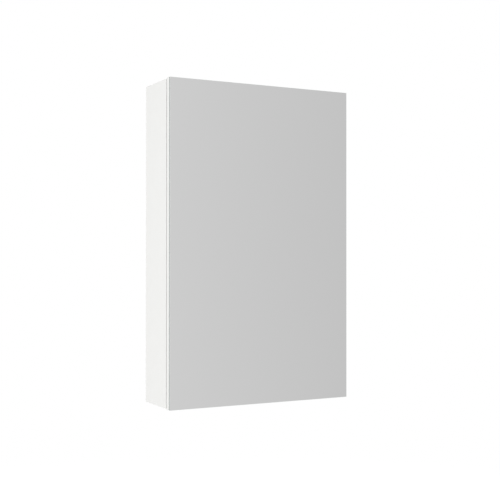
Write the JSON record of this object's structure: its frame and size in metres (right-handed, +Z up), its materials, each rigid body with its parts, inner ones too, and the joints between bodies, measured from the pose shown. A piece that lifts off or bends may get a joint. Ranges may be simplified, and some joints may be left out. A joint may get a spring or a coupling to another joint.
{
  "type": "bathroom mirror cabinet",
  "caption": "Wall-hung bathroom cabinet: a white carcass with glass shelves behind a plain mirror door on cup hinges, opened by a push latch.",
  "frame": {"origin": "middle of the wall screw pattern, on the wall plane at the back of the cabinet", "axes": "+Z up, +Y into the wall, so the mirror faces -Y, and +X to the right as one faces the mirror"},
  "size_m": [0.4, 0.1225, 0.635],
  "materials": {
    "melamine_board": "white melamine, satin, raw chipboard where cut",
    "edge_band": "white, satin",
    "back_board": "white-faced hardboard, brown behind",
    "wall_rail_board": "white melamine, raw chipboard where cut",
    "beech_dowel": "plain beech",
    "zinc_casting": "zinc casting, dull",
    "nickel_steel": "nickel-plated, satin",
    "zinc_steel": "zinc-plated",
    "spring_steel": "bare spring wire",
    "white_plastic": "moulded, satin",
    "grey_plastic": "moulded, satin",
    "soft_pad": "translucent soft plastic",
    "shelf_glass": "float glass, ground edges",
    "mirror_glass": "silvered glass, ground edges",
    "ferrite": "ferrite magnet"
  },
  "bodies": {
    "cabinet": {"left_side": "melamine_board", "right_side": "melamine_board", "top_panel": "melamine_board", "bottom_panel": "melamine_board", "back_panel": "back_board", "front_edge_bands": "edge_band", "corner_dowels": "beech_dowel", "rail_dowels": "beech_dowel", "cam_bolts": "zinc_steel", "cam_locks": "zinc_casting", "cam_caps": "white_plastic", "upper_rail": "wall_rail_board", "lower_rail": "wall_rail_board", "upper_shelf": "shelf_glass", "lower_shelf": "shelf_glass", "shelf_pins": "nickel_steel", "shelf_pads": "soft_pad", "upper_hinge_plate": "nickel_steel", "lower_hinge_plate": "nickel_steel", "upper_hinge_arm": "nickel_steel", "lower_hinge_arm": "nickel_steel", "hinge_plate_screws": "zinc_steel", "arm_clamp_screws": "zinc_steel", "arm_adjusting_screws": "zinc_steel", "latch_housing": "white_plastic", "latch_end_cap": "white_plastic", "latch_spring": "spring_steel", "latch_screws": "zinc_steel"},
    "door": {"door_board": "melamine_board", "door_edge_band": "edge_band", "mirror_glass": "mirror_glass", "upper_hinge_cup": "nickel_steel", "lower_hinge_cup": "nickel_steel", "hinge_pins": "spring_steel", "hinge_cup_screws": "zinc_steel", "strike_plate": "zinc_steel", "strike_screws": "zinc_steel"},
    "plunger": {"latch_plunger": "grey_plastic", "latch_magnet": "ferrite"}
  },
  "joints": [
    {"name": "door_swing", "type": "hinge", "parent": "cabinet", "child": "door", "pos_m": [0.19316, -0.1133, 0], "axis": [0, 0, 1], "range_deg": [0, 95]},
    {"name": "plunger_slide", "type": "slide", "parent": "cabinet", "child": "plunger", "axis": [0, -1, 0], "range_m": [0, 0.012]}
  ],
  "couplings": [
    {"joint": "plunger_slide", "follows": "door_swing", "m_per_rad": 0.007237}
  ]
}
